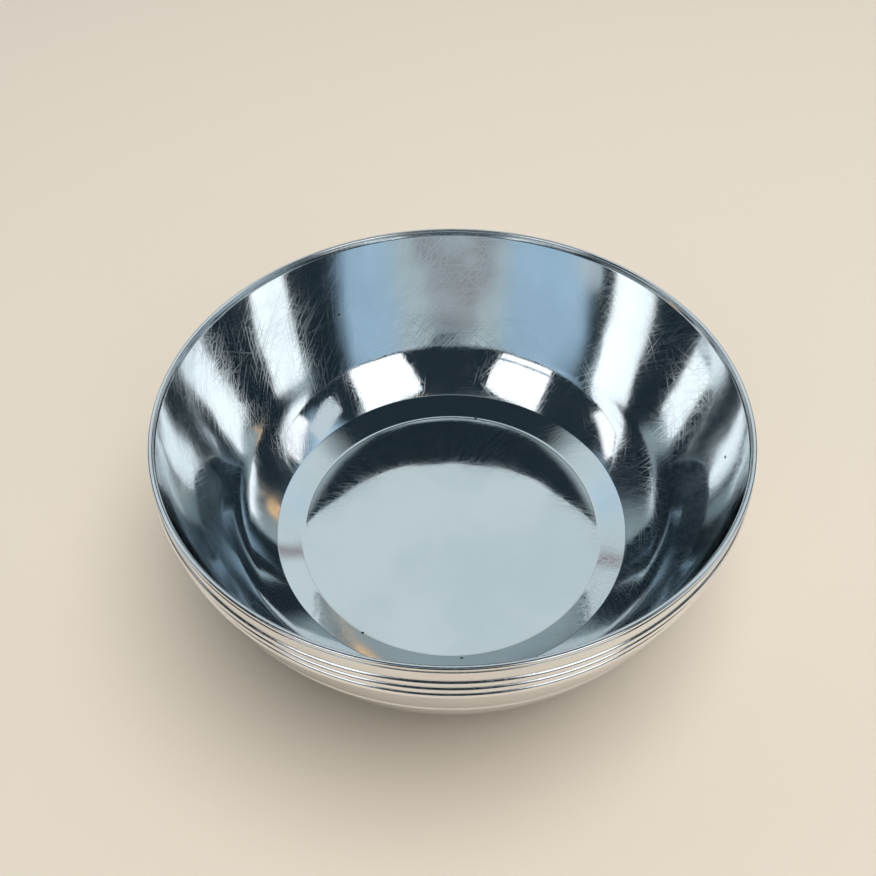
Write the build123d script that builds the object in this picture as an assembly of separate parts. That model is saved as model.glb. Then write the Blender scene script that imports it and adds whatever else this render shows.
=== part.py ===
from build123d import *
import os
from math import asin, atan2, cos, degrees, hypot, radians, sin, tan

# Polished metal shaving bowl: two spun shells nested with an air gap, joined at the rim.
# Units are millimetres. +Z is up, the bowl stands on z = 0 and its axis is the Z axis.
# Depths are taken down from the top of the rim. A lean is a wall's angle from upright,
# so 0 is a straight wall and 90 is a flat floor.

# Overall
BOWL_HEIGHT = 42.0
SHEET = 0.55
FULL_TURN = 360
WIRE_ARC_SPAN = 30

# Rim wire: a round wire flattened underneath, where it lies on the edges of both shells
RIM_WIRE_RADIUS = 0.45
RIM_WIRE_CENTRE_RADIUS = 54.45
RIM_SEAT_DEPTH = 0.82
COLLAR_DEPTH = 1.3

# Outer shell, followed down its outside face
OUTER_MOUTH_RADIUS = 55.0
OUTER_LIP_BEND = 20.0
OUTER_TOP_LEAN = 3.5
OUTER_UPPER_BEND = 70.0
OUTER_MIDDLE_LEAN = 22.3
OUTER_BASE_LEAN = 50.0
OUTER_CORNER_BEND = 3.0
BASE_DISH_RADIUS = 33.0
BASE_DISH_RISE = 1.2

# Foot ring, soldered under the flat edge of the base
FOOT_HEIGHT = 1.2
FOOT_OUTER_RADIUS = 36.2
FOOT_INNER_RADIUS = 33.8
FOOT_ROUND = 0.5

# Inner shell, followed down its visible face: a long upper bend, a tighter bend at the heel,
# a slow lower bend, then a crease, a shallow cove and a crowned floor
INNER_MOUTH_RADIUS = 53.9
INNER_LIP_BEND = 1.5
INNER_TOP_LEAN = 13.3
HEEL_RADIUS = 44.6
HEEL_DEPTH = 26.0
HEEL_BEND = 23.0
HEEL_CHANGE = 12.0
CREASE_RADIUS = 37.0
CREASE_DEPTH = 35.2
CREASE_BEND = 0.8
FLOOR_EDGE_RADIUS = 31.8
FLOOR_EDGE_DEPTH = 37.5
FLOOR_EDGE_BEND = 1.6
FLOOR_CROWN_LEAN = 5.0

# Three half-round wires round the outside, and a pair of turned lines below them
REED_DEPTHS = {"upper_reed_wire": 4.2, "middle_reed_wire": 6.7, "lower_reed_wire": 9.2}
REED_SECTION_RADIUS = 0.85
REED_PROUD = 0.45
TURNED_LINE_DEPTHS = (17.4, 18.1)
TURNED_LINE_RADIUS = 0.3
TURNED_LINE_SINK = 0.16


def height(depth):
    """Height above the table of a point this far below the rim."""
    return BOWL_HEIGHT - depth


def spin(section):
    """Turn a section, drawn with x as radius and y as height, into a round solid."""
    return revolve(Plane.XZ * section, Axis.Z)


def wire_section(radius, level, section_radius):
    """Round section of a wire, drawn as short arcs, at a radius and level of its ring."""
    centre = (radius, level)
    starts = range(0, FULL_TURN, WIRE_ARC_SPAN)
    return make_face([CenterArc(centre, section_radius, start, WIRE_ARC_SPAN) for start in starts])


def bend(previous, radius, lean_change):
    """Arc that carries on from a line or arc and leans further in by this many degrees."""
    return JernArc(previous @ 1, previous % 1, radius, -lean_change)


def filled(face_line):
    """Section between the axis and a line that runs from the rim seat down to the axis."""
    top = face_line[0] @ 0
    bottom = face_line[-1] @ 1
    lid = Line((0, top.Y), top)
    axis = Line(bottom, (0, top.Y))
    return make_face([lid, *face_line, axis])


def collar(radius):
    """Short upright line below the rim, where the two shells lie against each other."""
    return Line((radius, height(RIM_SEAT_DEPTH)), (radius, height(COLLAR_DEPTH)))


def chord(start, end):
    """Length and lean of the straight line between two (radius, height) points."""
    inwards = start[0] - end[0]
    down = start[1] - end[1]
    return hypot(inwards, down), degrees(atan2(inwards, down))


def arc_between(start, end, start_lean):
    """Radius and lean change of the arc that leaves one point at a lean to meet another."""
    length, mean_lean = chord(start, end)
    lean_change = 2 * (mean_lean - start_lean)
    return length / (2 * sin(radians(lean_change / 2))), lean_change


def after_bend(start, start_lean, radius, lean_change):
    """Radius and height of the point where an arc that starts at a lean ends."""
    before = radians(start_lean)
    after = radians(start_lean + lean_change)
    end_radius = start[0] - radius * (cos(before) - cos(after))
    end_height = start[1] - radius * (sin(after) - sin(before))
    return end_radius, end_height


def outer_upper_wall(inset=0.0):
    """Collar, lip and upper bend of the outer shell's outside face, moved inwards."""
    top = collar(OUTER_MOUTH_RADIUS - inset)
    lip = bend(top, OUTER_LIP_BEND - inset, OUTER_TOP_LEAN)
    upper = bend(lip, OUTER_UPPER_BEND - inset, OUTER_MIDDLE_LEAN - OUTER_TOP_LEAN)
    return [top, lip, upper]


def outer_section(inset=0.0):
    """Section filled up to the outer shell's outside face, moved inwards by an inset."""
    upper_wall = outer_upper_wall(inset)
    corner_drop = OUTER_CORNER_BEND * (1 - sin(radians(OUTER_BASE_LEAN)))
    lean_rise = sin(radians(OUTER_BASE_LEAN)) - sin(radians(OUTER_MIDDLE_LEAN))
    middle_height = (upper_wall[-1] @ 1).Y - inset * sin(radians(OUTER_MIDDLE_LEAN))
    lower_bend = (middle_height - FOOT_HEIGHT - corner_drop) / lean_rise
    lower = bend(upper_wall[-1], lower_bend - inset, OUTER_BASE_LEAN - OUTER_MIDDLE_LEAN)
    corner = bend(lower, OUTER_CORNER_BEND - inset, 90 - OUTER_BASE_LEAN)
    seat = Line(corner @ 1, (BASE_DISH_RADIUS, FOOT_HEIGHT + inset))
    dish_bend = (BASE_DISH_RADIUS**2 + BASE_DISH_RISE**2) / (2 * BASE_DISH_RISE)
    dish = RadiusArc(seat @ 1, (0, FOOT_HEIGHT + inset + BASE_DISH_RISE), -dish_bend)
    return filled([*upper_wall, lower, corner, seat, dish])


def inner_section(outset=0.0):
    """Section filled up to the inner shell's visible face, moved outwards by an outset."""
    collar_foot = (INNER_MOUTH_RADIUS, height(COLLAR_DEPTH))
    heel = (HEEL_RADIUS, height(HEEL_DEPTH))
    crease = (CREASE_RADIUS, height(CREASE_DEPTH))
    floor_edge = (FLOOR_EDGE_RADIUS, height(FLOOR_EDGE_DEPTH))
    upper_bend, upper_change = arc_between(collar_foot, heel, INNER_TOP_LEAN)
    heel_lean = INNER_TOP_LEAN + upper_change
    below_heel = after_bend(heel, heel_lean, HEEL_BEND, HEEL_CHANGE)
    lower_lean = heel_lean + HEEL_CHANGE
    lower_bend, lower_change = arc_between(below_heel, crease, lower_lean)
    cove_length, cove_lean = chord(crease, floor_edge)
    crease_change = cove_lean - lower_lean - lower_change
    edge_change = 90 + FLOOR_CROWN_LEAN - cove_lean
    crease_trim = CREASE_BEND * tan(radians(crease_change / 2))
    edge_trim = FLOOR_EDGE_BEND * tan(radians(edge_change / 2))
    lower_trim = degrees(crease_trim / lower_bend)

    top = collar(INNER_MOUTH_RADIUS + outset)
    lip = bend(top, INNER_LIP_BEND + outset, INNER_TOP_LEAN)
    upper = bend(lip, upper_bend + outset, upper_change)
    heel_round = bend(upper, HEEL_BEND + outset, HEEL_CHANGE)
    lower = bend(heel_round, lower_bend + outset, lower_change - lower_trim)
    crease_round = bend(lower, CREASE_BEND + outset, crease_change + lower_trim)
    cove_straight = cove_length - crease_trim - edge_trim
    cove = PolarLine(crease_round @ 1, cove_straight, direction=crease_round % 1)
    edge_round = bend(cove, FLOOR_EDGE_BEND + outset, edge_change)
    crown_bend = (edge_round @ 1).X / sin(radians(FLOOR_CROWN_LEAN))
    crown = JernArc(edge_round @ 1, edge_round % 1, crown_bend, FLOOR_CROWN_LEAN)
    wall = [top, lip, upper, heel_round, lower]
    return filled([*wall, crease_round, cove, edge_round, crown])


def off_outer_wall(depth, distance):
    """Radius and height of a point this far off the outside wall, at about a depth."""
    upper = outer_upper_wall()[-1]
    centre = upper.arc_center
    lean = asin((centre.Y - height(depth)) / OUTER_UPPER_BEND)
    reach = OUTER_UPPER_BEND + distance
    return centre.X + reach * cos(lean), centre.Y - reach * sin(lean)


def build_inner_shell():
    """Bowl that holds the lather: the visible face and one sheet thickness behind it."""
    return spin(inner_section(SHEET) - inner_section())


def build_outer_shell():
    """Outside jacket and base, with the pair of turned lines cut round its wall."""
    section = outer_section() - outer_section(SHEET)
    for depth in TURNED_LINE_DEPTHS:
        radius, level = off_outer_wall(depth, TURNED_LINE_RADIUS - TURNED_LINE_SINK)
        section -= wire_section(radius, level, TURNED_LINE_RADIUS)
    return spin(section)


def build_rim_wire():
    """Round wire over the joint of the two shells, with a flat seat underneath."""
    wire = wire_section(RIM_WIRE_CENTRE_RADIUS, height(RIM_WIRE_RADIUS), RIM_WIRE_RADIUS)
    seat_middle = (RIM_WIRE_CENTRE_RADIUS, height(RIM_SEAT_DEPTH))
    below_seat = Pos(seat_middle) * Rectangle(
        2 * RIM_WIRE_RADIUS, RIM_WIRE_RADIUS, align=(Align.CENTER, Align.MAX)
    )
    return spin(wire - below_seat)


def build_reed_wire(depth):
    """Half-round wire that lies on the outside wall at a depth below the rim."""
    radius, level = off_outer_wall(depth, REED_PROUD - REED_SECTION_RADIUS)
    return spin(wire_section(radius, level, REED_SECTION_RADIUS) - outer_section())


def build_foot_ring():
    """Flat ring the bowl stands on, with rounded lower edges."""
    blank = Cylinder(
        FOOT_OUTER_RADIUS, FOOT_HEIGHT, align=(Align.CENTER, Align.CENTER, Align.MIN)
    )
    hole = Cylinder(
        FOOT_INNER_RADIUS, FOOT_HEIGHT, align=(Align.CENTER, Align.CENTER, Align.MIN)
    )
    foot = blank - hole
    lower_edges = foot.edges().filter_by(GeomType.CIRCLE).group_by(Axis.Z)[0]
    return fillet(lower_edges, FOOT_ROUND)


parts = {
    "inner_shell": build_inner_shell(),
    "outer_shell": build_outer_shell(),
    "rim_wire": build_rim_wire(),
    "foot_ring": build_foot_ring(),
}
for reed_name, reed_depth in REED_DEPTHS.items():
    parts[reed_name] = build_reed_wire(reed_depth)

os.makedirs("parts", exist_ok=True)
for part_name, part in parts.items():
    export_step(part, f"parts/{part_name}.step")
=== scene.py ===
"""Looks of a polished metal shaving bowl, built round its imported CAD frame.

Every piece of the bowl is turned: a section is drawn as radius and height, and a Geometry
Nodes lathe spins it round the Z axis. Sizes are in millimetres until a section is handed to
the lathe. A lean is a wall's angle from upright, so 0 is a straight wall and 90 a flat floor.
"""

import logging
import math
from dataclasses import dataclass, field
from enum import Enum

import bpy
from mathutils import Matrix, Vector


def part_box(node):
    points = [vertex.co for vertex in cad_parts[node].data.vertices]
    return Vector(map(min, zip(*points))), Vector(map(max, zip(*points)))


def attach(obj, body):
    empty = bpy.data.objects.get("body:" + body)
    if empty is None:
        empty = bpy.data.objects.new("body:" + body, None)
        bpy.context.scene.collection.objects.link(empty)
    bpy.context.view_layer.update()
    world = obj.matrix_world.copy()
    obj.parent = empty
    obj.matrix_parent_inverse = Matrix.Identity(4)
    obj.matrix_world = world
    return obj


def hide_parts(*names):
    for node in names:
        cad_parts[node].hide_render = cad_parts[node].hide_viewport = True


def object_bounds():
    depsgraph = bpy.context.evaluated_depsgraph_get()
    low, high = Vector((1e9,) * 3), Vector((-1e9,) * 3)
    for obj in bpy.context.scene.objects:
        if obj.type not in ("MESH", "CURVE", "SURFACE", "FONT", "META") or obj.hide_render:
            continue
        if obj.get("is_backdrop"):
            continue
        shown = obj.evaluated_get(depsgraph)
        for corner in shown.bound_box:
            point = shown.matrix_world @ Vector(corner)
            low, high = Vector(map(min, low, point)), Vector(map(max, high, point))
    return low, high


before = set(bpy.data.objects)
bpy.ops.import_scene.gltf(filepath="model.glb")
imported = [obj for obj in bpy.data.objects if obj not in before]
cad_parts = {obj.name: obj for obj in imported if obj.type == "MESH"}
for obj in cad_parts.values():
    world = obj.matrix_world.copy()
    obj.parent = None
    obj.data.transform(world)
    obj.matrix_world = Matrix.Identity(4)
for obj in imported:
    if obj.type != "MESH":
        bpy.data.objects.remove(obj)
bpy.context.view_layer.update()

LOG = logging.getLogger("shaving_bowl")
MM = 0.001
ROOT_BODY = "root"
VIEW_TRANSFORM = "Standard"

Point = tuple[float, float]
LeanPoint = tuple[float, float, float]
Colour = tuple[float, float, float]
Socket = bpy.types.NodeSocket
Tree = bpy.types.NodeTree
Node = bpy.types.Node
Material = bpy.types.Material
GroupParts = tuple[Tree, "NodeBuilder", Node, Node]


class Slot(Enum):
    """Material slots of the record, listed on each piece."""

    INNER = "inner_polish"
    OUTER = "outer_polish"
    WIRE = "wire_polish"
    FOOT = "foot_satin"


def put_in_scene(name: str, data: bpy.types.ID) -> bpy.types.Object:
    """Make an object and link it to the scene.

    Args:
        name: The object's name.
        data: Its mesh, light or camera.

    Returns:
        The new object.
    """
    made = bpy.data.objects.new(name, data)
    bpy.context.scene.collection.objects.link(made)
    return made


# --- node helpers


class NodeBuilder:
    """Short way to add and join nodes in one tree."""

    def __init__(self, tree: Tree) -> None:
        """Keep the tree that nodes are added to."""
        self.tree = tree

    def add(self, kind: str, inputs: dict | None = None, **settings: object) -> Node:
        """Add a node.

        Args:
            kind: Blender's node type.
            inputs: Socket name or index to a value, or to an output socket to link from.
            settings: Properties set on the node itself.

        Returns:
            The new node.
        """
        node = self.tree.nodes.new(kind)
        for name, value in settings.items():
            setattr(node, name, value)
        for key, value in (inputs or {}).items():
            socket = node.inputs[key]
            if isinstance(value, Socket):
                self.tree.links.new(value, socket)
            else:
                socket.default_value = value
        return node

    def math(self, operation: str, *values: object, clamp: bool = False) -> Socket:
        """Add a Math node.

        Args:
            operation: Blender's operation name.
            values: Numbers or sockets, in the order of the node's inputs.
            clamp: Whether the result is kept between 0 and 1.

        Returns:
            The node's output socket.
        """
        inputs = dict(enumerate(values))
        node = self.add("ShaderNodeMath", inputs, operation=operation, use_clamp=clamp)
        return node.outputs[0]

    def vector_math(self, operation: str, *values: object) -> Node:
        """Add a Vector Math node and return it."""
        return self.add("ShaderNodeVectorMath", dict(enumerate(values)), operation=operation)

    def ramp(self, value: Socket, low: float, high: float) -> Socket:
        """Rise smoothly from 0 to 1 as a value goes from low to high.

        Args:
            value: The socket to read.
            low: Value that gives 0.
            high: Value that gives 1.

        Returns:
            The smooth result, between 0 and 1.
        """
        node = self.add(
            "ShaderNodeMapRange",
            {"Value": value, "From Min": low, "From Max": high},
            interpolation_type="SMOOTHSTEP",
        )
        return node.outputs["Result"]

    def noise(
        self, vector: Socket, scale: float, detail: float, roughness: float = 0.5
    ) -> Node:
        """Add a Noise Texture node and return it."""
        inputs = {"Vector": vector, "Scale": scale, "Detail": detail, "Roughness": roughness}
        return self.add("ShaderNodeTexNoise", inputs)

    def group(self, tree: Tree, inputs: dict) -> Node:
        """Add a shader node group and return its node."""
        return self.add("ShaderNodeGroup", inputs, node_tree=tree)

    def join(self, start: Socket, end: Socket) -> None:
        """Link two sockets."""
        self.tree.links.new(start, end)


def shader_group(
    name: str, inputs: dict[str, tuple[str, object]], outputs: dict[str, str]
) -> GroupParts:
    """Start a shader node group with named sockets.

    Args:
        name: Name of the group.
        inputs: Socket name to its type and default value, None for no default.
        outputs: Socket name to its type.

    Returns:
        The group, a builder for it, its input node and its output node.
    """
    group = bpy.data.node_groups.new(name, "ShaderNodeTree")
    for label, (kind, default) in inputs.items():
        socket = group.interface.new_socket(label, in_out="INPUT", socket_type=kind)
        if default is not None:
            socket.default_value = default
    for label, kind in outputs.items():
        group.interface.new_socket(label, in_out="OUTPUT", socket_type=kind)
    build = NodeBuilder(group)
    entry = build.add("NodeGroupInput")
    leave = build.add("NodeGroupOutput")
    return group, build, entry, leave


# --- sections


@dataclass
class Trace:
    """A line followed in the section plane, kept as points with the lean at each.

    Attributes:
        radius: Distance from the axis where the line starts.
        height: Height where the line starts.
        lean: Lean of the line where it starts.
        step: Longest distance between points.
        points: Points put down so far.
    """

    radius: float
    height: float
    lean: float = 0.0
    step: float = 0.5
    points: list[LeanPoint] = field(default_factory=list)

    def __post_init__(self) -> None:
        """Put down the first point."""
        self.points.append((self.radius, self.height, self.lean))

    def follow(self, length: float, lean_change: float = 0.0) -> "Trace":
        """Go on down and inwards along an arc, or a line when the lean doesn't change.

        Args:
            length: Length of the arc.
            lean_change: Degrees by which the lean grows along it.

        Returns:
            The trace itself, so that calls can be chained.
        """
        count = max(2, math.ceil(length / self.step), math.ceil(abs(lean_change)))
        piece = length / count
        for _ in range(count):
            middle = math.radians(self.lean + lean_change / count / 2)
            self.radius -= piece * math.sin(middle)
            self.height -= piece * math.cos(middle)
            self.lean += lean_change / count
            self.points.append((self.radius, self.height, self.lean))
        return self

    def bend(self, bend_radius: float, lean_change: float) -> "Trace":
        """Follow an arc of a given radius through a change of lean."""
        length = abs(bend_radius * math.radians(lean_change))
        return self.follow(length, lean_change)


def chord(start: Point, end: Point) -> Point:
    """Measure the straight line between two points.

    Args:
        start: Radius and height of the first point.
        end: Radius and height of the second point.

    Returns:
        The line's length and its lean in degrees.
    """
    inwards = start[0] - end[0]
    down = start[1] - end[1]
    return math.hypot(inwards, down), math.degrees(math.atan2(inwards, down))


def arc_between(start: Point, end: Point, start_lean: float) -> Point:
    """Arc that leaves one point at a lean and meets another.

    Args:
        start: Radius and height of the first point.
        end: Radius and height of the second point.
        start_lean: Lean at the first point, in degrees.

    Returns:
        The arc's radius and its change of lean.
    """
    length, mean_lean = chord(start, end)
    lean_change = 2 * (mean_lean - start_lean)
    return length / (2 * math.sin(math.radians(lean_change / 2))), lean_change


def after_bend(start: Point, start_lean: float, radius: float, change: float) -> Point:
    """Point where an arc ends.

    Args:
        start: Radius and height where it starts.
        start_lean: Lean where it starts, in degrees.
        radius: The arc's radius.
        change: Its change of lean, in degrees.

    Returns:
        Radius and height of its end.
    """
    before, after = math.radians(start_lean), math.radians(start_lean + change)
    inwards = radius * (math.cos(before) - math.cos(after))
    down = radius * (math.sin(after) - math.sin(before))
    return start[0] - inwards, start[1] - down


def moved_off(points: list[LeanPoint], distance: float) -> list[LeanPoint]:
    """Move each point of a trace straight off its line.

    Args:
        points: The trace's points.
        distance: How far they move, outwards when positive.

    Returns:
        The moved points.
    """
    moved = []
    for radius, height, lean in points:
        angle = math.radians(lean)
        moved.append(
            (radius + distance * math.cos(angle), height - distance * math.sin(angle), lean)
        )
    return moved


def arc_points(
    centre: Point, radius: float, start: float, end: float, count: int
) -> list[Point]:
    """Points along a circle's arc.

    Args:
        centre: Radius and height of the circle's centre.
        radius: The circle's own radius.
        start: First angle in degrees, 0 pointing away from the axis and 90 up.
        end: Last angle in degrees.
        count: Number of gaps between points.

    Returns:
        List of (radius, height) points.
    """
    points = []
    for index in range(count + 1):
        angle = math.radians(start + (end - start) * index / count)
        across, up = radius * math.cos(angle), radius * math.sin(angle)
        points.append((centre[0] + across, centre[1] + up))
    return points


# --- the lathe


class Lathe:
    """Geometry Nodes tree that spins a section, given as a row of vertices, round Z."""

    COLUMNS = 256
    SHARP_ANGLE = math.radians(38.0)
    WELD = 2e-7

    def __init__(self) -> None:
        """Build the tree once."""
        tree = bpy.data.node_groups.new("bowl_lathe", "GeometryNodeTree")
        tree.interface.new_socket("Turned", in_out="OUTPUT", socket_type="NodeSocketGeometry")
        self.identifiers = {}
        for label, kind, default in (
            ("Section", "NodeSocketGeometry", None),
            ("Columns", "NodeSocketInt", self.COLUMNS),
            ("Sharp Angle", "NodeSocketFloat", self.SHARP_ANGLE),
            ("Finish", "NodeSocketMaterial", None),
        ):
            socket = tree.interface.new_socket(label, in_out="INPUT", socket_type=kind)
            if default is not None:
                socket.default_value = default
            self.identifiers[label] = socket.identifier
        self.tree = tree
        self._wire()

    def _wire(self) -> None:
        """Add the nodes: a grid whose rows are the section and whose columns go round."""
        build = NodeBuilder(self.tree)
        entry = build.add("NodeGroupInput")
        leave = build.add("NodeGroupOutput")
        size = build.add(
            "GeometryNodeAttributeDomainSize", {"Geometry": entry.outputs["Section"]}
        )
        rows = size.outputs["Point Count"]
        columns = entry.outputs["Columns"]
        grid = build.add(
            "GeometryNodeMeshGrid",
            {"Vertices X": build.math("ADD", columns, 1.0), "Vertices Y": rows},
        )
        index = build.add("GeometryNodeInputIndex").outputs["Index"]
        half_way = build.math("ADD", index, 0.5)
        column = build.math("FLOOR", build.math("DIVIDE", half_way, rows))
        row = build.math("SUBTRACT", index, build.math("MULTIPLY", column, rows))
        place = build.add("GeometryNodeInputPosition").outputs["Position"]
        sample = build.add(
            "GeometryNodeSampleIndex",
            {"Geometry": entry.outputs["Section"], "Index": row},
            data_type="FLOAT_VECTOR",
        )
        vector_in = next(s for s in sample.inputs if s.type == "VECTOR" and s.enabled)
        vector_out = next(s for s in sample.outputs if s.type == "VECTOR" and s.enabled)
        build.join(place, vector_in)
        share = build.math("DIVIDE", column, columns)
        angle = build.math("MULTIPLY", share, 2 * math.pi)
        turned = build.add(
            "ShaderNodeVectorRotate",
            {"Vector": vector_out, "Angle": angle},
            rotation_type="Z_AXIS",
        )
        moved = build.add(
            "GeometryNodeSetPosition",
            {"Geometry": grid.outputs["Mesh"], "Position": turned.outputs["Vector"]},
        )
        welded = build.add(
            "GeometryNodeMergeByDistance",
            {"Geometry": moved.outputs["Geometry"], "Distance": self.WELD},
        )
        smooth = build.add(
            "GeometryNodeSetShadeSmooth", {"Geometry": welded.outputs["Geometry"]}
        )
        edge_angle = build.add("GeometryNodeInputMeshEdgeAngle").outputs["Unsigned Angle"]
        is_soft = build.add(
            "FunctionNodeCompare",
            {0: edge_angle, 1: entry.outputs["Sharp Angle"]},
            data_type="FLOAT",
            operation="LESS_THAN",
        )
        edges = build.add(
            "GeometryNodeSetShadeSmooth",
            {"Geometry": smooth.outputs["Geometry"], "Shade Smooth": is_soft.outputs[0]},
            domain="EDGE",
        )
        realized = build.add(
            "GeometryNodeRealizeInstances", {"Geometry": edges.outputs["Geometry"]}
        )
        coloured = build.add(
            "GeometryNodeSetMaterial",
            {"Geometry": realized.outputs["Geometry"], "Material": entry.outputs["Finish"]},
        )
        build.join(coloured.outputs["Geometry"], leave.inputs["Turned"])

    def spin(
        self, name: str, section: list[Point], material: Material
    ) -> bpy.types.Object:
        """Turn a section into a finished mesh object.

        Args:
            name: Name of the new object.
            section: (radius, height) points in millimetres, counter-clockwise, from the
                axis back to the axis, or closed by repeating the first point.
            material: Finish of the whole piece.

        Returns:
            A mesh object at the origin with no modifiers.
        """
        wire = bpy.data.meshes.new(name + "_section")
        wire.from_pydata([(r * MM, 0.0, z * MM) for r, z in section], [], [])
        blank = put_in_scene(name + "_blank", wire)
        modifier = blank.modifiers.new("lathe", "NODES")
        modifier.node_group = self.tree
        modifier[self.identifiers["Columns"]] = self.COLUMNS
        modifier[self.identifiers["Sharp Angle"]] = self.SHARP_ANGLE
        modifier[self.identifiers["Finish"]] = material
        depsgraph = bpy.context.evaluated_depsgraph_get()
        mesh = bpy.data.meshes.new_from_object(
            blank.evaluated_get(depsgraph), preserve_all_data_layers=True, depsgraph=depsgraph
        )
        bpy.data.objects.remove(blank)
        bpy.data.meshes.remove(wire)
        mesh.name = name
        if not mesh.materials:
            mesh.materials.append(material)
        return put_in_scene(name, mesh)


# --- finishes


@dataclass(frozen=True)
class Steel:
    """Numbers that set one polished finish apart from another.

    Attributes:
        name: Name of the material.
        colour: Base colour, linear.
        dull_colour: Base colour where wear has dulled it.
        roughness: Roughness of the cleanest polish.
        haze: Roughness added where fine scratches lie thickest.
        brushing: How far reflections are drawn out across the turning marks, 0 to 1.
        line_height: Height of the turning marks, in millimetres.
        scratch_height: Height of the loose scratches, in millimetres.
        ripple_height: Height of the slow unevenness left by hand polishing.
        ripple_scale: How many ripples lie in a metre.
        pits: How much the small dark pits show, 0 to 1.
        mouth_haze: Roughness added by rubbing near the mouth.
    """

    name: str
    colour: Colour
    dull_colour: Colour
    roughness: float = 0.05
    haze: float = 0.2
    brushing: float = 0.4
    line_height: float = 0.0004
    scratch_height: float = 0.0012
    ripple_height: float = 0.004
    ripple_scale: float = 90.0
    pits: float = 0.0
    mouth_haze: float = 0.0


AXIS_GUARD = 1e-5
WANDER_SCALE = 60.0
WANDER_SHIFT = 0.0007
HAIRLINE_EDGE = 0.09
PIT_EDGE = 0.02
SMALLEST_PIT = 0.4


class PolishMarks:
    """Shader groups for the marks that every polished face of the bowl carries."""

    def __init__(self) -> None:
        """Build the groups once."""
        self.around = self._around_group()
        self.scratches = self._scratch_group()
        self.pits = self._pit_group()

    @staticmethod
    def _around_group() -> Tree:
        """Coordinates that run round the bowl and up its wall, in metres.

        Returns:
            A group that turns an object position into a vector (round, up, 0) and a ring
            vector that has no seam.
        """
        group, build, entry, leave = shader_group(
            "turned_coordinates",
            {"Position": ("NodeSocketVector", None), "Mean Radius": ("NodeSocketFloat", 0.05)},
            {"Unrolled": "NodeSocketVector", "Ring": "NodeSocketVector"},
        )
        parts = build.add("ShaderNodeSeparateXYZ", {0: entry.outputs["Position"]})
        x, y, z = parts.outputs[0], parts.outputs[1], parts.outputs[2]
        squares = build.math("ADD", build.math("MULTIPLY", x, x), build.math("MULTIPLY", y, y))
        radius = build.math("SQRT", squares)
        angle = build.math("ARCTAN2", y, x)
        round_way = build.math("MULTIPLY", angle, entry.outputs["Mean Radius"])
        up_way = build.math("ADD", radius, z)
        unrolled = build.add("ShaderNodeCombineXYZ", {0: round_way, 1: up_way})
        build.join(unrolled.outputs[0], leave.inputs["Unrolled"])
        share_x = build.math("DIVIDE", x, build.math("MAXIMUM", radius, AXIS_GUARD))
        share_y = build.math("DIVIDE", y, build.math("MAXIMUM", radius, AXIS_GUARD))
        ring = build.add("ShaderNodeCombineXYZ", {0: share_x, 1: share_y, 2: up_way})
        build.join(ring.outputs[0], leave.inputs["Ring"])
        return group

    @staticmethod
    def _scratch_group() -> Tree:
        """Loose hairline scratches in one direction.

        Returns:
            A group that gives a mask of thin streaks, 1 on a scratch.
        """
        group, build, entry, leave = shader_group(
            "hairline_scratches",
            {
                "Vector": ("NodeSocketVector", None),
                "Turn": ("NodeSocketFloat", 0.0),
                "Across": ("NodeSocketFloat", 2700.0),
                "Along": ("NodeSocketFloat", 75.0),
                "Rarity": ("NodeSocketFloat", 0.6),
            },
            {"Mask": "NodeSocketFloat"},
        )
        turned = build.add(
            "ShaderNodeVectorRotate",
            {"Vector": entry.outputs["Vector"], "Angle": entry.outputs["Turn"]},
            rotation_type="Z_AXIS",
        )
        wander = build.noise(entry.outputs["Vector"], WANDER_SCALE, 1.0)
        shifted = build.vector_math("SCALE", wander.outputs["Color"])
        shifted.inputs["Scale"].default_value = WANDER_SHIFT
        bent = build.vector_math("ADD", turned.outputs[0], shifted.outputs[0])
        scale = build.add(
            "ShaderNodeCombineXYZ",
            {0: entry.outputs["Along"], 1: entry.outputs["Across"], 2: 1.0},
        )
        stretched = build.vector_math("MULTIPLY", bent.outputs[0], scale.outputs[0])
        noise = build.noise(stretched.outputs[0], 1.0, 1.0, 0.4)
        above = build.math("SUBTRACT", noise.outputs["Fac"], entry.outputs["Rarity"])
        mask = build.ramp(above, 0.0, HAIRLINE_EDGE)
        build.join(mask, leave.inputs["Mask"])
        return group

    @staticmethod
    def _pit_group() -> Tree:
        """Small dark pits scattered thinly.

        Returns:
            A group that gives a mask, 1 inside a pit.
        """
        group, build, entry, leave = shader_group(
            "small_pits",
            {
                "Vector": ("NodeSocketVector", None),
                "Per Metre": ("NodeSocketFloat", 160.0),
                "Size": ("NodeSocketFloat", 0.05),
                "Share": ("NodeSocketFloat", 0.25),
            },
            {"Mask": "NodeSocketFloat"},
        )
        cells = build.add(
            "ShaderNodeTexVoronoi",
            {"Vector": entry.outputs["Vector"], "Scale": entry.outputs["Per Metre"]},
        )
        pick = build.add("ShaderNodeSeparateColor", {0: cells.outputs["Color"]})
        chosen = build.math("LESS_THAN", pick.outputs[0], entry.outputs["Share"])
        spread = build.math("ADD", pick.outputs[1], SMALLEST_PIT)
        reach = build.math("MULTIPLY", entry.outputs["Size"], spread)
        inside = build.math("SUBTRACT", reach, cells.outputs["Distance"])
        soft = build.ramp(inside, 0.0, PIT_EDGE)
        build.join(build.math("MULTIPLY", soft, chosen), leave.inputs["Mask"])
        return group


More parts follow.
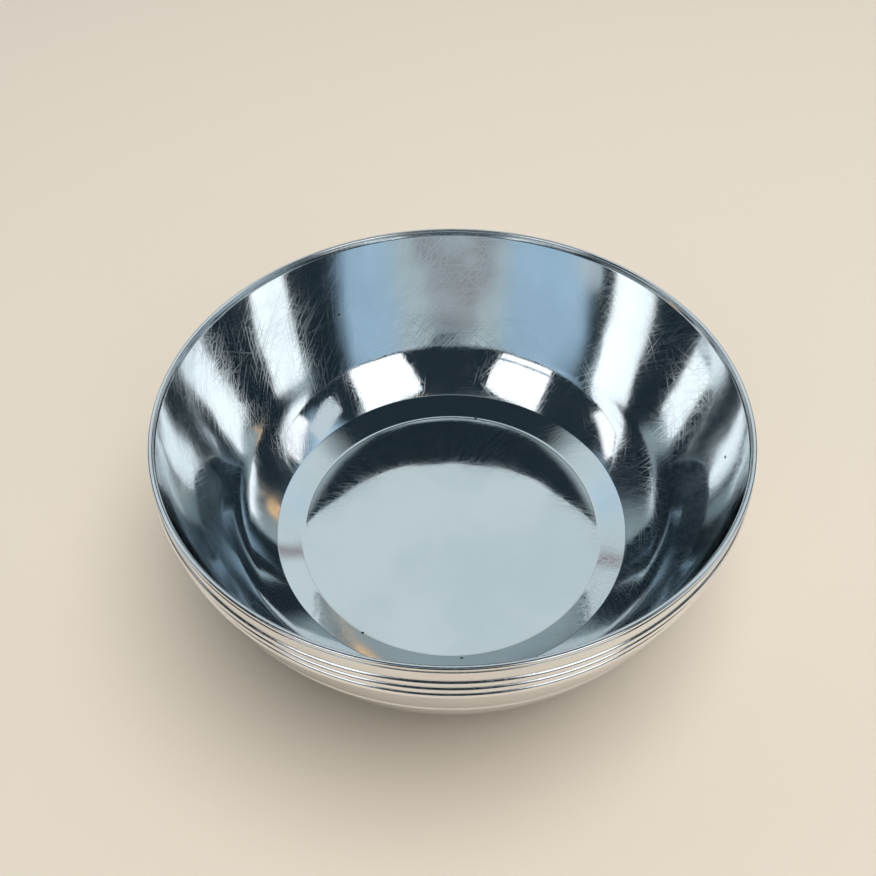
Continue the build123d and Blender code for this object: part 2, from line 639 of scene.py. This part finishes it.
class FinishShop:
    """Makes a material for each finish from the shared groups.

    HAIRLINE_SETS holds the turn in radians and the rarity of each set of scratches.
    """

    HAIRLINE_SETS = ((0.95, 0.55), (1.42, 0.57), (-0.85, 0.60), (0.12, 0.61))
    SOFT_FROM = 21.0
    SOFT_FULL = 32.0
    RING_SCALE = (0.9, 0.9, 5200.0)
    RING_SHOWN = (0.35, 0.75)
    WEAR_SCALE = 38.0
    WEAR_SHOWN = (0.36, 0.66)
    SCRATCH_IN_WEAR = 0.75
    SCRATCH_ELSEWHERE = 0.25
    SCRATCH_HAZE = 0.7
    RING_HAZE = 0.3
    PIT_ROUGHNESS = 0.4
    PIT_DEPTH = 0.05
    PIT_COLOUR = (0.03, 0.03, 0.035, 1.0)
    WEAR_TINT = 0.6

    def __init__(self) -> None:
        """Build the shared groups."""
        self.marks = PolishMarks()

    def make(self, steel: Steel, mean_radius: float) -> Material:
        """Make the material of one finish.

        Args:
            steel: The finish.
            mean_radius: Typical distance of the faces from the axis, in millimetres.

        Returns:
            The new material.
        """
        material = bpy.data.materials.new(steel.name)
        material.use_nodes = True
        material.node_tree.nodes.clear()
        build = NodeBuilder(material.node_tree)
        shader = self._shader(build, steel)
        position = build.add("ShaderNodeTexCoord").outputs["Object"]
        around = build.group(
            self.marks.around, {"Position": position, "Mean Radius": mean_radius * MM}
        )
        ring = build.vector_math("MULTIPLY", around.outputs["Ring"], self.RING_SCALE)
        lines = build.noise(ring.outputs[0], 1.0, 3.0, 0.65).outputs["Fac"]
        total = self._all_scratches(build, around.outputs["Unrolled"])
        patches = build.noise(position, self.WEAR_SCALE, 3.0, 0.55)
        worn = build.ramp(patches.outputs["Fac"], *self.WEAR_SHOWN)
        share = build.math("MULTIPLY_ADD", worn, self.SCRATCH_IN_WEAR, self.SCRATCH_ELSEWHERE)
        seen = build.math("MULTIPLY", total, share)
        line_part = build.ramp(lines, *self.RING_SHOWN)
        haze = build.math(
            "ADD",
            build.math("MULTIPLY", seen, self.SCRATCH_HAZE),
            build.math("MULTIPLY", line_part, self.RING_HAZE),
            clamp=True,
        )
        roughness = build.math("MULTIPLY_ADD", haze, steel.haze, steel.roughness)
        level = build.add("ShaderNodeSeparateXYZ", {0: position}).outputs[2]
        near_mouth = build.ramp(level, self.SOFT_FROM * MM, self.SOFT_FULL * MM)
        roughness = build.math("MULTIPLY_ADD", near_mouth, steel.mouth_haze, roughness)
        pits = build.group(self.marks.pits, {"Vector": position})
        pit = build.math("MULTIPLY", pits.outputs["Mask"], steel.pits)
        pit_roughness = build.math("MULTIPLY", pit, self.PIT_ROUGHNESS)
        roughness = build.math("ADD", roughness, pit_roughness)
        build.join(roughness, shader.inputs["Roughness"])
        build.join(self._colour(build, steel, worn, pit), shader.inputs["Base Color"])
        height = self._height(build, steel, position, lines, seen, pit)
        bump = build.add("ShaderNodeBump", {"Height": height, "Strength": 1.0, "Distance": MM})
        build.join(bump.outputs[0], shader.inputs["Normal"])
        return material

    @staticmethod
    def _shader(build: NodeBuilder, steel: Steel) -> Node:
        """Add the metal shader, with its highlights drawn out across the turning marks.

        Args:
            build: Builder of the material's tree.
            steel: The finish.

        Returns:
            The shader node.
        """
        output = build.add("ShaderNodeOutputMaterial")
        shader = build.add("ShaderNodeBsdfPrincipled")
        shader.inputs["Metallic"].default_value = 1.0
        shader.inputs["Anisotropic"].default_value = steel.brushing
        tangent = build.add("ShaderNodeTangent", direction_type="RADIAL", axis="Z")
        build.join(tangent.outputs[0], shader.inputs["Tangent"])
        build.join(shader.outputs[0], output.inputs["Surface"])
        return shader

    def _all_scratches(
        self, build: NodeBuilder, unrolled: Socket
    ) -> Socket:
        """Lay every set of hairline scratches over the last.

        Args:
            build: Builder of the material's tree.
            unrolled: Coordinates round the bowl and up its wall.

        Returns:
            A mask, 1 on any scratch.
        """
        total = None
        for turn, rarity in self.HAIRLINE_SETS:
            places = {"Vector": unrolled, "Turn": turn, "Rarity": rarity}
            scratch = build.group(self.marks.scratches, places)
            mask = scratch.outputs["Mask"]
            total = mask if total is None else build.math("MAXIMUM", total, mask)
        return total

    def _colour(
        self,
        build: NodeBuilder,
        steel: Steel,
        worn: Socket,
        pit: Socket,
    ) -> Socket:
        """Dull the colour where it is worn and darken it in the pits.

        Args:
            build: Builder of the material's tree.
            steel: The finish.
            worn: Mask of the worn patches.
            pit: Mask of the pits.

        Returns:
            The base colour.
        """
        tone = build.add(
            "ShaderNodeMixRGB", {1: (*steel.colour, 1.0), 2: (*steel.dull_colour, 1.0)}
        )
        build.join(build.math("MULTIPLY", worn, self.WEAR_TINT), tone.inputs[0])
        darkened = build.add("ShaderNodeMixRGB", {2: self.PIT_COLOUR})
        build.join(tone.outputs[0], darkened.inputs[1])
        build.join(pit, darkened.inputs[0])
        return darkened.outputs[0]

    def _height(
        self,
        build: NodeBuilder,
        steel: Steel,
        position: Socket,
        lines: Socket,
        seen: Socket,
        pit: Socket,
    ) -> Socket:
        """Add up the small heights that bend the reflections.

        Args:
            build: Builder of the material's tree.
            steel: The finish.
            position: Object coordinates.
            lines: Turning marks.
            seen: Mask of the scratches.
            pit: Mask of the pits.

        Returns:
            Height in millimetres.
        """
        ripple = build.noise(position, steel.ripple_scale, 1.0, 0.4)
        marks = build.math(
            "SUBTRACT",
            build.math("MULTIPLY", lines, steel.line_height),
            build.math("MULTIPLY", seen, steel.scratch_height),
        )
        slow = build.math("MULTIPLY", ripple.outputs["Fac"], steel.ripple_height)
        height = build.math("ADD", slow, marks)
        return build.math("SUBTRACT", height, build.math("MULTIPLY", pit, self.PIT_DEPTH))


INNER_STEEL = Steel(
    "inner_polish_look", (0.82, 0.85, 0.86), (0.70, 0.74, 0.76),
    roughness=0.02, haze=0.13, brushing=0.4, scratch_height=0.0020,
    ripple_height=0.10, ripple_scale=80.0, pits=1.0, mouth_haze=0.03,
)
OUTER_STEEL = Steel(
    "outer_polish_look", (0.84, 0.85, 0.85), (0.74, 0.75, 0.76),
    roughness=0.05, haze=0.14, brushing=0.3, scratch_height=0.0005,
    ripple_height=0.02, ripple_scale=80.0, pits=0.3,
)
WIRE_STEEL = Steel(
    "wire_polish_look", (0.90, 0.905, 0.91), (0.76, 0.77, 0.78),
    roughness=0.14, haze=0.15, brushing=0.1, scratch_height=0.0003,
    ripple_height=0.006, ripple_scale=220.0, pits=0.6,
)
FOOT_STEEL = Steel(
    "foot_satin_look", (0.74, 0.76, 0.78), (0.55, 0.56, 0.58),
    roughness=0.16, haze=0.3, brushing=0.2, pits=0.8,
)


# --- the bowl's pieces


@dataclass
class TurnedPiece:
    """A piece of the bowl that stands for one CAD node.

    Attributes:
        node: Name of the CAD node it replaces.
        slot: Material slot of the record; not used.
        steel: How it looks.
        mean_radius: Typical distance from the axis, in millimetres.
    """

    node: str
    slot: Slot
    steel: Steel
    mean_radius: float = 50.0

    def section(self) -> list[Point]:
        """Closed section of the piece, counter-clockwise, in millimetres."""
        raise NotImplementedError

    def make(self, lathe: Lathe, shop: FinishShop, looks: dict) -> bpy.types.Object:
        """Turn the piece, dress it and tie it to its body.

        Args:
            lathe: The lathe that turns it.
            shop: Where its finish comes from.
            looks: Finishes made so far, by name; a new one is added.

        Returns:
            The finished object.
        """
        if self.steel.name not in looks:
            looks[self.steel.name] = shop.make(self.steel, self.mean_radius)
        piece = lathe.spin(self.node + "_turned", self.section(), looks[self.steel.name])
        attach(piece, ROOT_BODY)
        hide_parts(self.node)
        LOG.info("%s: %d faces", piece.name, len(piece.data.polygons))
        return piece


@dataclass
class InnerShell(TurnedPiece):
    """The bowl one looks into: collar, wall, crease, cove and crowned floor."""

    sheet: float = 0.55
    mouth_radius: float = 53.9
    collar_length: float = 0.48
    lip_bend: float = 1.5
    top_lean: float = 13.3
    heel: tuple[float, float] = (44.6, 26.0)
    heel_bend: float = 23.0
    heel_change: float = 12.0
    crease: tuple[float, float] = (37.0, 35.2)
    crease_bend: float = 0.8
    floor_edge: tuple[float, float] = (31.8, 37.5)
    floor_edge_bend: float = 1.6
    crown_lean: float = 5.0
    back_close: int = 8
    back_skip: int = 4

    def section(self) -> list[Point]:
        """Sheet section: back face from the axis out, then the visible face down again.

        Returns:
            The closed outline, in millimetres.
        """
        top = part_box(self.node)[1][2] / MM
        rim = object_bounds()[1][2] / MM
        collar_foot = (self.mouth_radius, top - self.collar_length)
        heel = (self.heel[0], rim - self.heel[1])
        crease = (self.crease[0], rim - self.crease[1])
        floor_edge = (self.floor_edge[0], rim - self.floor_edge[1])
        upper_bend, upper_change = arc_between(collar_foot, heel, self.top_lean)
        heel_lean = self.top_lean + upper_change
        below_heel = after_bend(heel, heel_lean, self.heel_bend, self.heel_change)
        lower_lean = heel_lean + self.heel_change
        lower_bend, lower_change = arc_between(below_heel, crease, lower_lean)
        cove_length, cove_lean = chord(crease, floor_edge)
        crease_change = cove_lean - lower_lean - lower_change
        edge_change = 90 + self.crown_lean - cove_lean
        crease_trim = self.crease_bend * math.tan(math.radians(crease_change / 2))
        edge_trim = self.floor_edge_bend * math.tan(math.radians(edge_change / 2))
        lower_trim = math.degrees(crease_trim / lower_bend)
        face = Trace(self.mouth_radius, top)
        face.follow(self.collar_length)
        face.bend(self.lip_bend, self.top_lean)
        face.bend(upper_bend, upper_change)
        face.bend(self.heel_bend, self.heel_change)
        face.bend(lower_bend, lower_change - lower_trim)
        face.bend(self.crease_bend, crease_change + lower_trim)
        face.follow(cove_length - crease_trim - edge_trim)
        face.bend(self.floor_edge_bend, edge_change)
        crown_bend = face.radius / math.sin(math.radians(self.crown_lean))
        face.bend(crown_bend, -self.crown_lean)
        back = moved_off(face.points, self.sheet)
        thin_back = back[:self.back_close] + back[self.back_close:-1:self.back_skip]
        thin_back += back[-1:]
        outline = [(r, z) for r, z, _ in reversed(thin_back)]
        outline += [(r, z) for r, z, _ in face.points]
        outline[0] = (0.0, outline[0][1])
        outline[-1] = (0.0, outline[-1][1])
        return outline


@dataclass
class OuterShell(TurnedPiece):
    """Outside jacket and base, with two turned lines round the wall."""

    sheet: float = 0.55
    mouth_radius: float = 55.0
    edge_round: float = 0.16
    collar_length: float = 0.48
    lip_bend: float = 20.0
    top_lean: float = 3.5
    upper_bend: float = 70.0
    middle_lean: float = 22.3
    base_lean: float = 50.0
    corner_bend: float = 3.0
    dish_radius: float = 33.0
    dish_rise: float = 1.2
    line_depths: tuple[float, float] = (17.4, 18.1)
    line_radius: float = 0.3
    line_sink: float = 0.16
    line_step: float = 0.045
    line_margin: float = 1.6
    face_step: float = 0.6
    back_step: float = 0.9
    edge_count: int = 5

    def _face(self, step: float, lines: bool) -> list[LeanPoint]:
        """Follow the outside face from the mouth to the axis.

        Args:
            step: Longest distance between points.
            lines: Whether the turned lines are cut.

        Returns:
            Points with the lean at each.
        """
        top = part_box(self.node)[1][2] / MM
        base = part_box(self.node)[0][2] / MM
        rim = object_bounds()[1][2] / MM
        face = Trace(self.mouth_radius, top, step=step)
        face.follow(self.collar_length)
        face.bend(self.lip_bend, self.top_lean)
        before = len(face.points)
        face.step = self.line_step if lines else step
        face.bend(self.upper_bend, self.middle_lean - self.top_lean)
        if lines:
            upper = face.points[before:]
            face.points[before:] = self._with_lines(upper, rim, step)
        face.step = step
        base_sine = math.sin(math.radians(self.base_lean))
        corner_drop = self.corner_bend * (1 - base_sine)
        lean_rise = base_sine - math.sin(math.radians(self.middle_lean))
        lower_bend = (face.height - base - corner_drop) / lean_rise
        face.bend(lower_bend, self.base_lean - self.middle_lean)
        face.bend(self.corner_bend, 90 - self.base_lean)
        face.follow(face.radius - self.dish_radius)
        dish_bend = (self.dish_radius**2 + self.dish_rise**2) / (2 * self.dish_rise)
        dish_angle = math.degrees(math.asin(self.dish_radius / dish_bend))
        face.lean += dish_angle
        face.bend(dish_bend, -dish_angle)
        return face.points

    def _with_lines(
        self, points: list[LeanPoint], rim: float, step: float
    ) -> list[LeanPoint]:
        """Sink the turned lines into closely spaced points, and thin the points between.

        Args:
            points: Closely spaced points of the upper bend.
            rim: Height of the rim.
            step: Wanted distance between points away from the lines.

        Returns:
            The points to keep.
        """
        kept, last = [], None
        middle = self.line_radius - self.line_sink
        half_width = math.sqrt(self.line_radius**2 - middle**2)
        for radius, height, lean in points:
            angle = math.radians(lean)
            sink = 0.0
            near = False
            for depth in self.line_depths:
                off = (height - (rim - depth)) / math.cos(angle)
                near = near or abs(off) < self.line_margin * half_width
                if abs(off) < half_width:
                    sink = max(sink, math.sqrt(self.line_radius**2 - off**2) - middle)
            if last is not None and not near and math.dist(last, (radius, height)) < step:
                continue
            last = (radius, height)
            kept.append(
                (radius - sink * math.cos(angle), height + sink * math.sin(angle), lean)
            )
        kept.append(points[-1])
        return kept

    def section(self) -> list[Point]:
        """Sheet section: outside face from the axis out and up, then the hidden face back.

        Returns:
            The closed outline, in millimetres.
        """
        outside = self._face(self.face_step, True)
        inside = moved_off(self._face(self.back_step, False), -self.sheet)
        top = outside[0][1]
        centre = (self.mouth_radius - self.edge_round, top - self.edge_round)
        edge = arc_points(centre, self.edge_round, 0, 90, self.edge_count)
        below_edge = [(r, z) for r, z, _ in outside if z < top - self.edge_round]
        outline = list(reversed(below_edge)) + edge + [(r, z) for r, z, _ in inside]
        outline[0] = (0.0, outline[0][1])
        outline[-1] = (0.0, outline[-1][1])
        return outline


@dataclass
class RimWire(TurnedPiece):
    """Round wire over the joint of the two shells, flat underneath."""

    section_radius: float = 0.45
    centre_radius: float = 54.45
    seat_depth: float = 0.82
    count: int = 28

    def section(self) -> list[Point]:
        """Circle cut flat where it lies on the shells.

        Returns:
            The closed outline, in millimetres.
        """
        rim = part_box(self.node)[1][2] / MM
        centre = (self.centre_radius, rim - self.section_radius)
        seat_angle = math.degrees(
            math.asin((self.seat_depth - self.section_radius) / self.section_radius)
        )
        arc = arc_points(centre, self.section_radius, -seat_angle, 180 + seat_angle, self.count)
        return arc + arc[:1]


@dataclass
class ReedWire(TurnedPiece):
    """Half-round wire that lies on the outside wall."""

    section_radius: float = 0.85
    proud: float = 0.45
    count: int = 18
    search_step: float = 0.05

    def section(self) -> list[Point]:
        """Round front with a flat back on the wall, placed from the CAD node's box.

        Returns:
            The closed outline, in millimetres.
        """
        low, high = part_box(self.node)
        outermost = high[0] / MM
        top, bottom = high[2] / MM, low[2] / MM
        wall = OuterShell("outer_shell", Slot.OUTER, OUTER_STEEL)._face(self.search_step, False)
        middle = (top + bottom) / 2
        _, _, lean = min(wall, key=lambda point: abs(point[1] - middle))
        half_chord = math.acos(1 - self.proud / self.section_radius)
        half_angle = math.degrees(half_chord)
        half_width = self.section_radius * math.sin(half_chord)
        angle = math.radians(lean)
        behind = self.section_radius - self.proud
        level = top - half_width * math.cos(angle) + behind * math.sin(angle)
        centre = (outermost - self.section_radius, level)
        return self._closed(centre, lean, half_angle)

    def _closed(self, centre: Point, lean: float, half_angle: float) -> list[Point]:
        """Draw the arc between the two ends of the chord, closed along the chord.

        Args:
            centre: Radius and height of the wire's centre.
            lean: The wall's lean there, in degrees.
            half_angle: Half the arc's angle, in degrees.

        Returns:
            The closed outline.
        """
        arc = arc_points(
            centre, self.section_radius, -lean - half_angle, -lean + half_angle, self.count
        )
        return arc + arc[:1]


@dataclass
class FootRing(TurnedPiece):
    """Flat ring the bowl stands on."""

    outer_radius: float = 36.2
    inner_radius: float = 33.8
    round_radius: float = 0.5
    count: int = 6

    def section(self) -> list[Point]:
        """Rectangle with rounded lower corners.

        Returns:
            The closed outline, in millimetres.
        """
        low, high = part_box(self.node)
        bottom, top = low[2] / MM, high[2] / MM
        corner = self.round_radius
        inner = arc_points(
            (self.inner_radius + corner, bottom + corner), corner, 180, 270, self.count
        )
        outer = arc_points(
            (self.outer_radius - corner, bottom + corner), corner, 270, 360, self.count
        )
        outline = inner + outer + [(self.outer_radius, top), (self.inner_radius, top)]
        return outline + outline[:1]


@dataclass
class Bowl:
    """The whole bowl, piece by piece."""

    lathe: Lathe = field(default_factory=Lathe)
    shop: FinishShop = field(default_factory=FinishShop)

    def pieces(self) -> list[TurnedPiece]:
        """List the bowl's pieces from the inside out."""
        return [
            InnerShell("inner_shell", Slot.INNER, INNER_STEEL, 45.0),
            OuterShell("outer_shell", Slot.OUTER, OUTER_STEEL, 52.0),
            RimWire("rim_wire", Slot.WIRE, WIRE_STEEL, 54.0),
            ReedWire("upper_reed_wire", Slot.WIRE, WIRE_STEEL, 54.0),
            ReedWire("middle_reed_wire", Slot.WIRE, WIRE_STEEL, 54.0),
            ReedWire("lower_reed_wire", Slot.WIRE, WIRE_STEEL, 54.0),
            FootRing("foot_ring", Slot.FOOT, FOOT_STEEL, 35.0),
        ]

    def make(self) -> None:
        """Make every piece."""
        looks: dict[str, Material] = {}
        for piece in self.pieces():
            piece.make(self.lathe, self.shop, looks)


# --- the studio


@dataclass(frozen=True)
class SoftPanel:
    """One soft light or pale wall of the studio, seen from the bowl.

    Attributes:
        name: What it stands for.
        azimuth: Direction of its middle, in degrees from +Y towards +X.
        elevation: Height of its middle above the horizon, in degrees.
        half_width: Half its width as an angle, in degrees.
        half_height: Half its height as an angle, in degrees.
        colour: Its colour, linear.
        strength: How bright it is.
        softness: Width of its soft edge, as a tangent.
    """

    name: str
    azimuth: float
    elevation: float
    half_width: float
    half_height: float
    colour: Colour
    strength: float = 1.0
    softness: float = 0.05

    def axes(self) -> tuple[Vector, Vector, Vector]:
        """Work out how the panel lies.

        Returns:
            Unit vectors towards the panel, along its width and up its height.
        """
        a, e = math.radians(self.azimuth), math.radians(self.elevation)
        forward = Vector((math.sin(a) * math.cos(e), math.cos(a) * math.cos(e), math.sin(e)))
        side = Vector((math.cos(a), -math.sin(a), 0.0))
        return forward, side, side.cross(forward)


@dataclass
class Studio:
    """Camera, floor and soft light."""

    camera_place: tuple[float, float, float] = (-2.49, -115.05, 155.86)
    camera_down: float = 47.3
    camera_roll: float = 0.95
    lens: float = 36.0
    sensor: float = 36.0
    nearest: float = 0.01
    floor_half: float = 3.0
    floor_colour: Colour = (0.74, 0.64, 0.53)
    floor_roughness: float = 0.6
    fill_size: float = 1.2
    fill_watts: float = 16.0
    fill_colour: Colour = (1.0, 0.98, 0.95)
    fill_place: tuple[float, float, float] = (0.25, -0.1, 1.3)
    facing_least: float = 0.02
    room_colour: Colour = (0.018, 0.030, 0.040)
    backdrop_colour: Colour = (0.80, 0.78, 0.75)
    panels: tuple[SoftPanel, ...] = (
        SoftPanel("pale_far_wall", 0.0, 48.0, 47.0, 28.0, (0.60, 0.70, 0.73), 1.0, 0.12),
        SoftPanel("left_far_wall", 299.0, 39.0, 16.0, 10.0, (0.48, 0.68, 0.86), 1.0, 0.12),
        SoftPanel("right_far_wall", 75.0, 39.0, 25.0, 10.0, (0.48, 0.68, 0.86), 1.0, 0.12),
        SoftPanel("far_shelf", 6.0, 37.5, 40.0, 1.8, (0.32, 0.31, 0.33), 1.0, 0.03),
        SoftPanel("high_front_wall", 180.0, 58.0, 40.0, 6.0, (0.36, 0.44, 0.47), 1.0, 0.08),
        SoftPanel("left_window", 143.0, 32.0, 13.5, 15.0, (0.94, 0.98, 1.0), 1.6, 0.012),
        SoftPanel("right_window", 220.0, 31.0, 12.5, 14.0, (0.94, 0.98, 1.0), 1.6, 0.012),
        SoftPanel("window_bar", 220.0, 24.0, 13.0, 1.2, (0.30, 0.38, 0.45), 1.0, 0.01),
        SoftPanel("right_side_card", 104.0, 31.5, 9.0, 3.5, (0.62, 0.70, 0.76), 1.0, 0.01),
        SoftPanel("left_side_light", 273.0, 22.0, 10.0, 4.0, (0.94, 0.96, 1.0), 1.3, 0.02),
        SoftPanel("right_side_light", 88.0, 23.0, 8.0, 4.0, (0.94, 0.96, 1.0), 1.3, 0.02),
        SoftPanel("warm_lamp", 160.0, 50.5, 3.0, 1.3, (1.0, 0.58, 0.26), 1.5, 0.01),
    )

    def set_camera(self) -> None:
        """Put the camera above and in front of the bowl, looking down at it."""
        down, roll = math.radians(self.camera_down), math.radians(self.camera_roll)
        forward = Vector((0.0, math.cos(down), -math.sin(down)))
        right = Vector((1.0, 0.0, 0.0))
        below = Vector((0.0, -math.sin(down), -math.cos(down)))
        turned_right = math.cos(roll) * right + math.sin(roll) * below
        turned_below = -math.sin(roll) * right + math.cos(roll) * below
        columns = (turned_right, -turned_below, -forward)
        rotation = Matrix(columns).transposed().to_4x4()
        data = bpy.data.cameras.new("camera")
        data.lens = self.lens
        data.sensor_width = self.sensor
        data.clip_start = self.nearest
        camera = put_in_scene("camera", data)
        camera.matrix_world = Matrix.Translation(Vector(self.camera_place) * MM) @ rotation
        bpy.context.scene.camera = camera

    def lay_floor(self) -> None:
        """Lay a plain pale floor under the bowl."""
        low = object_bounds()[0][2]
        half = self.floor_half
        mesh = bpy.data.meshes.new("floor")
        corners = [(-half, -half, low), (half, -half, low), (half, half, low), (-half, half, low)]
        mesh.from_pydata(corners, [], [(0, 1, 2, 3)])
        floor = put_in_scene("floor", mesh)
        material = bpy.data.materials.new("pale_floor")
        material.use_nodes = True
        shader = material.node_tree.nodes["Principled BSDF"]
        shader.inputs["Base Color"].default_value = (*self.floor_colour, 1.0)
        shader.inputs["Roughness"].default_value = self.floor_roughness
        mesh.materials.append(material)
        floor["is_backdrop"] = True

    def hang_lights(self) -> None:
        """Add an overhead fill that lights the floor and doesn't show in the polish."""
        data = bpy.data.lights.new("overhead_fill", "AREA")
        data.shape = "DISK"
        data.size = self.fill_size
        data.energy = self.fill_watts
        data.color = self.fill_colour
        light = put_in_scene("overhead_fill", data)
        light.location = self.fill_place
        light.visible_glossy = False
        aim = Vector((0.0, 0.0, 0.0)) - light.location
        light.rotation_euler = aim.to_track_quat("-Z", "Y").to_euler()

    def _panel_group(self) -> Tree:
        """Mask of one panel, seen along a direction.

        Returns:
            A group that gives 1 inside the panel and 0 outside it.
        """
        group, build, entry, leave = shader_group(
            "soft_panel",
            {
                "Direction": ("NodeSocketVector", None),
                "Forward": ("NodeSocketVector", (0.0, 1.0, 0.0)),
                "Side": ("NodeSocketVector", (1.0, 0.0, 0.0)),
                "Up": ("NodeSocketVector", (0.0, 0.0, 1.0)),
                "Half Width": ("NodeSocketFloat", 0.5),
                "Half Height": ("NodeSocketFloat", 0.5),
                "Softness": ("NodeSocketFloat", 0.05),
            },
            {"Mask": "NodeSocketFloat"},
        )
        direction = entry.outputs["Direction"]
        ahead = build.vector_math("DOT_PRODUCT", direction, entry.outputs["Forward"])
        forward_part = ahead.outputs["Value"]
        mask = build.math("GREATER_THAN", forward_part, self.facing_least)
        safe = build.math("MAXIMUM", forward_part, self.facing_least)
        for axis, half in (("Side", "Half Width"), ("Up", "Half Height")):
            along = build.vector_math("DOT_PRODUCT", direction, entry.outputs[axis])
            tangent = build.math("DIVIDE", along.outputs["Value"], safe)
            off = build.math("ABSOLUTE", tangent)
            inside = build.math("SUBTRACT", entry.outputs[half], off)
            share = build.math("DIVIDE", inside, entry.outputs["Softness"])
            mask = build.math("MULTIPLY", mask, build.ramp(share, -1.0, 1.0))
        build.join(mask, leave.inputs["Mask"])
        return group

    def paint_room(self) -> None:
        """Build the room of soft panels that the polish mirrors."""
        group = self._panel_group()
        world = bpy.data.worlds.new("studio")
        bpy.context.scene.world = world
        world.use_nodes = True
        world.node_tree.nodes.clear()
        room = NodeBuilder(world.node_tree)
        output = room.add("ShaderNodeOutputWorld")
        towards = room.add("ShaderNodeTexCoord").outputs["Generated"]
        colour: object = (*self.room_colour, 1.0)
        for panel in self.panels:
            forward, side, up = panel.axes()
            sizes = {
                "Direction": towards,
                "Forward": forward,
                "Side": side,
                "Up": up,
                "Half Width": math.tan(math.radians(panel.half_width)),
                "Half Height": math.tan(math.radians(panel.half_height)),
                "Softness": panel.softness,
            }
            mask = room.group(group, sizes)
            bright = tuple(channel * panel.strength for channel in panel.colour)
            mix = room.add("ShaderNodeMixRGB", {1: colour, 2: (*bright, 1.0)}, blend_type="MIX")
            room.join(mask.outputs["Mask"], mix.inputs[0])
            colour = mix.outputs[0]
        backdrop = room.add("ShaderNodeMixRGB", {2: (*self.backdrop_colour, 1.0)})
        seen = room.add("ShaderNodeLightPath").outputs["Is Camera Ray"]
        room.join(seen, backdrop.inputs[0])
        room.join(colour, backdrop.inputs[1])
        light = room.add("ShaderNodeBackground", {"Strength": 1.0})
        room.join(backdrop.outputs[0], light.inputs["Color"])
        room.join(light.outputs[0], output.inputs["Surface"])

    def build(self) -> None:
        """Make the camera, the floor and the light."""
        self.set_camera()
        self.lay_floor()
        self.hang_lights()
        self.paint_room()


def main() -> None:
    """Build the studio and the bowl."""
    bpy.context.scene.view_settings.view_transform = VIEW_TRANSFORM
    logging.basicConfig(level=logging.INFO, format="%(name)s: %(message)s")
    Studio().build()
    Bowl().make()


if __name__ == "__main__":
    main()
